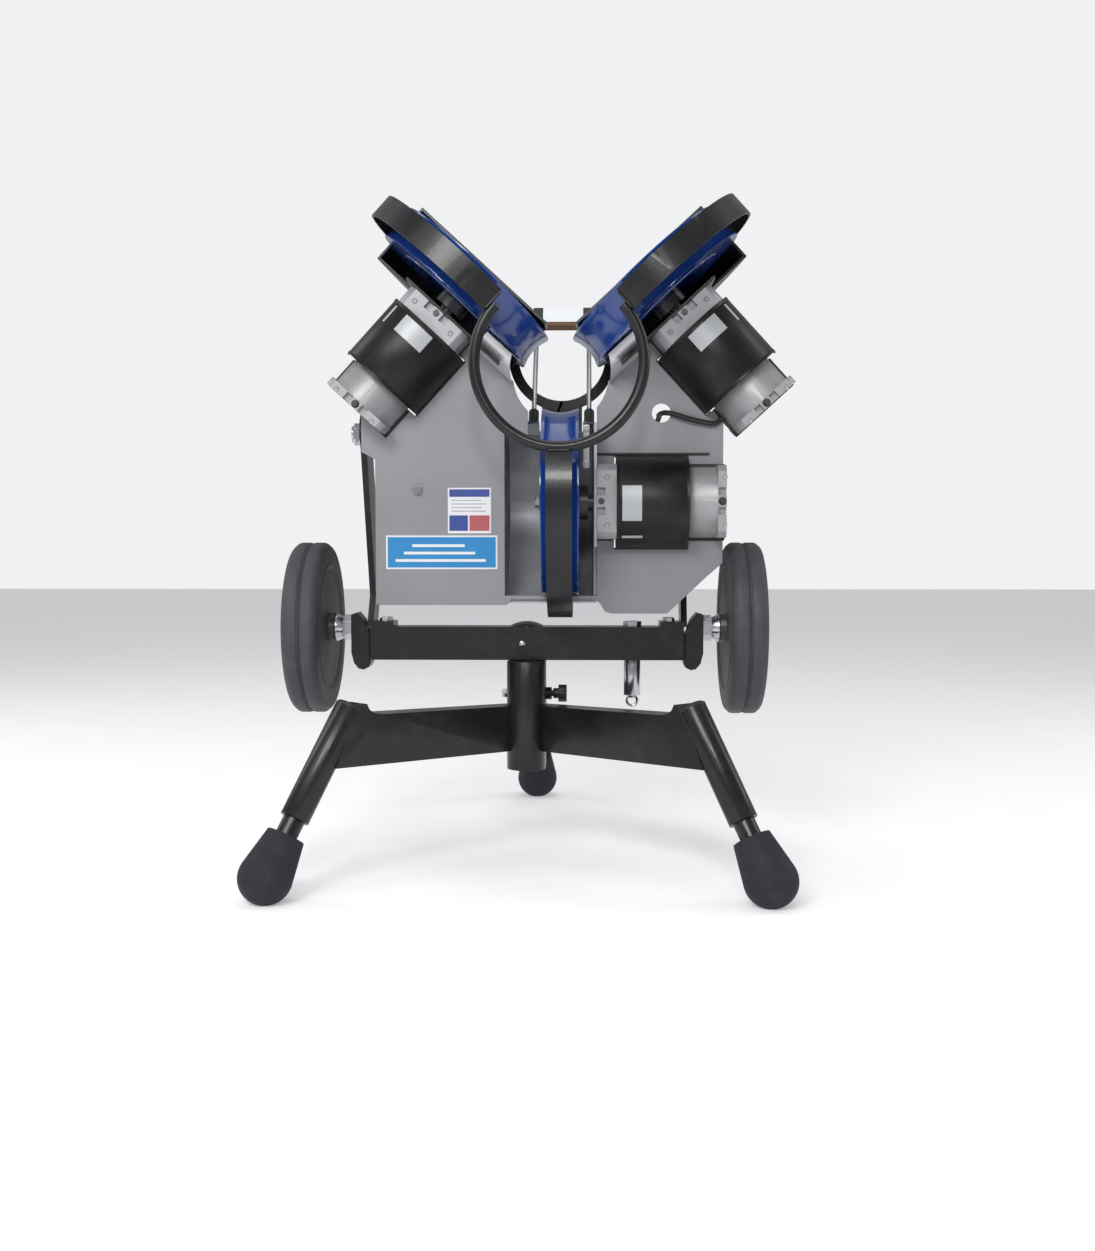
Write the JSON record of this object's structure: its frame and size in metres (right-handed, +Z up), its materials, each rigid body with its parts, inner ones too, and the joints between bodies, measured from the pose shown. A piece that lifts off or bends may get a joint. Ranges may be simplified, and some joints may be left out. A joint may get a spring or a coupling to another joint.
{
  "type": "baseball pitching machine",
  "caption": "Throwing wheels in a Y squeeze and launch a ball; the head tilts on a swivelling wheeled yoke over a splayed, adjustable tripod base.",
  "frame": {"origin": "on the floor under the middle of the whole machine", "axes": "-Y is the throwing direction, +X is to the right seen from the front, +Z is up"},
  "size_m": [0.4808, 0.5506, 0.6211],
  "materials": {
    "black_paint": "semi-gloss black powder coat",
    "bronze": "plain bearing bronze",
    "leg_steel": "black steel tube",
    "foot_rubber": "matte moulded rubber",
    "knob_plastic": "matte black",
    "zinc": "bright zinc and nickel plate",
    "tyre_rubber": "dark grey solid tyre",
    "hub_plastic": "dark grey moulded hub",
    "grey_paint": "satin grey powder coat",
    "motor_black": "satin black",
    "motor_grey": "satin grey painted casting",
    "boot_rubber": "black rubber",
    "box_paint": "black powder coat",
    "blue_urethane": "glossy deep blue urethane",
    "hub_steel": "machined",
    "switch_red": "gloss red"
  },
  "bodies": {
    "stand": {"base_post": "black_paint", "front_left_arm": "black_paint", "front_right_arm": "black_paint", "rear_arm": "black_paint", "kingpin_bushes": "bronze"},
    "left_leg": {"front_left_leg": "leg_steel", "front_left_foot": "foot_rubber"},
    "right_leg": {"front_right_leg": "leg_steel", "front_right_foot": "foot_rubber"},
    "back_leg": {"rear_leg": "leg_steel", "rear_foot": "foot_rubber"},
    "swivel_lock": {"swivel_lock_knob": "knob_plastic"},
    "yoke": {"yoke_beam": "black_paint", "left_yoke_arm": "black_paint", "right_yoke_arm": "black_paint", "kingpin": "leg_steel", "left_wheel_bracket": "black_paint", "right_wheel_bracket": "black_paint", "transport_axles": "zinc", "yoke_bolts": "zinc"},
    "plunger": {"lock_plunger": "zinc"},
    "left_transport": {"left_tyre": "tyre_rubber", "left_tyre_hub": "hub_plastic"},
    "right_transport": {"right_tyre": "tyre_rubber", "right_tyre_hub": "hub_plastic"},
    "head": {"front_plate": "grey_paint", "lower_wheel_cover": "grey_paint", "left_wheel_cover": "black_paint", "right_wheel_cover": "black_paint", "lower_motor_can": "motor_black", "left_motor_can": "motor_black", "right_motor_can": "motor_black", "lower_motor_bells": "motor_grey", "left_motor_bells": "motor_grey", "right_motor_bells": "motor_grey", "lower_guard": "black_paint", "left_guard": "black_paint", "right_guard": "black_paint", "guard_hoop": "black_paint", "feed_rails": "zinc", "rail_boots": "boot_rubber", "feed_throat": "black_paint", "trunnion_brackets": "grey_paint", "trunnion_bolts": "zinc", "control_box": "box_paint", "control_lid": "box_paint", "power_inlet": "knob_plastic", "motor_leads": "boot_rubber", "plate_bolt": "zinc"},
    "lower_spinner": {"lower_wheel": "blue_urethane", "lower_wheel_hub": "hub_steel"},
    "left_spinner": {"left_wheel": "blue_urethane", "left_wheel_hub": "hub_steel"},
    "right_spinner": {"right_wheel": "blue_urethane", "right_wheel_hub": "hub_steel"},
    "lower_dial": {"lower_speed_dial": "knob_plastic"},
    "left_dial": {"left_speed_dial": "knob_plastic"},
    "right_dial": {"right_speed_dial": "knob_plastic"},
    "switch": {"power_switch": "switch_red"},
    "tilt_lock": {"tilt_lock_knob": "knob_plastic"}
  },
  "joints": [
    {"name": "swivel", "type": "hinge", "parent": "stand", "child": "yoke", "pos_m": [-0.00838, -0.04329, 0.187], "axis": [0, 0, 1], "range_deg": [-20, 20]},
    {"name": "tilt", "type": "hinge", "parent": "yoke", "child": "head", "pos_m": [-0.00838, -0.00729, 0.408], "axis": [-1, 0, 0], "range_deg": [-5, 45]},
    {"name": "lower_wheel_spin", "type": "hinge", "parent": "head", "child": "lower_spinner", "pos_m": [0.02462, -0.07329, 0.338], "axis": [1, 0, 0], "continuous": true},
    {"name": "left_wheel_spin", "type": "hinge", "parent": "head", "child": "left_spinner", "pos_m": [-0.06312, -0.07329, 0.53739], "axis": [-0.6756, 0, -0.7373], "continuous": true},
    {"name": "right_wheel_spin", "type": "hinge", "parent": "head", "child": "right_spinner", "pos_m": [0.11235, -0.07329, 0.53739], "axis": [0.6756, 0, -0.7373], "continuous": true},
    {"name": "left_transport_spin", "type": "hinge", "parent": "yoke", "child": "left_transport", "pos_m": [-0.21588, -0.04329, 0.218], "axis": [1, 0, 0], "continuous": true},
    {"name": "right_transport_spin", "type": "hinge", "parent": "yoke", "child": "right_transport", "pos_m": [0.19912, -0.04329, 0.218], "axis": [1, 0, 0], "continuous": true},
    {"name": "left_leg_slide", "type": "slide", "parent": "stand", "child": "left_leg", "axis": [-0.3799, -0.3799, -0.8434], "range_m": [0, 0.06]},
    {"name": "right_leg_slide", "type": "slide", "parent": "stand", "child": "right_leg", "axis": [0.3799, -0.3799, -0.8434], "range_m": [0, 0.06]},
    {"name": "back_leg_slide", "type": "slide", "parent": "stand", "child": "back_leg", "axis": [0, 0.5373, -0.8434], "range_m": [0, 0.06]},
    {"name": "lock_plunger_pull", "type": "slide", "parent": "yoke", "child": "plunger", "axis": [0, 0, -1], "range_m": [0, 0.008], "stiffness_N_per_m": 800, "springref_m": -0.005},
    {"name": "swivel_lock_turn", "type": "hinge", "parent": "stand", "child": "swivel_lock", "pos_m": [0.02162, -0.04329, 0.154], "axis": [1, 0, 0], "range_deg": [0, 180]},
    {"name": "tilt_lock_turn", "type": "hinge", "parent": "head", "child": "tilt_lock", "pos_m": [0.16849, -0.00729, 0.408], "axis": [1, 0, 0], "range_deg": [0, 180]},
    {"name": "lower_speed_turn", "type": "hinge", "parent": "head", "child": "lower_dial", "pos_m": [-0.12338, -0.01029, 0.345], "axis": [0, 1, 0], "range_deg": [-300, 0]},
    {"name": "left_speed_turn", "type": "hinge", "parent": "head", "child": "left_dial", "pos_m": [-0.09638, -0.01029, 0.345], "axis": [0, 1, 0], "range_deg": [-300, 0]},
    {"name": "right_speed_turn", "type": "hinge", "parent": "head", "child": "right_dial", "pos_m": [-0.06938, -0.01029, 0.345], "axis": [0, 1, 0], "range_deg": [-300, 0]},
    {"name": "power_rock", "type": "hinge", "parent": "head", "child": "switch", "pos_m": [-0.12038, -0.01479, 0.295], "axis": [1, 0, 0], "range_deg": [0, 12]}
  ]
}
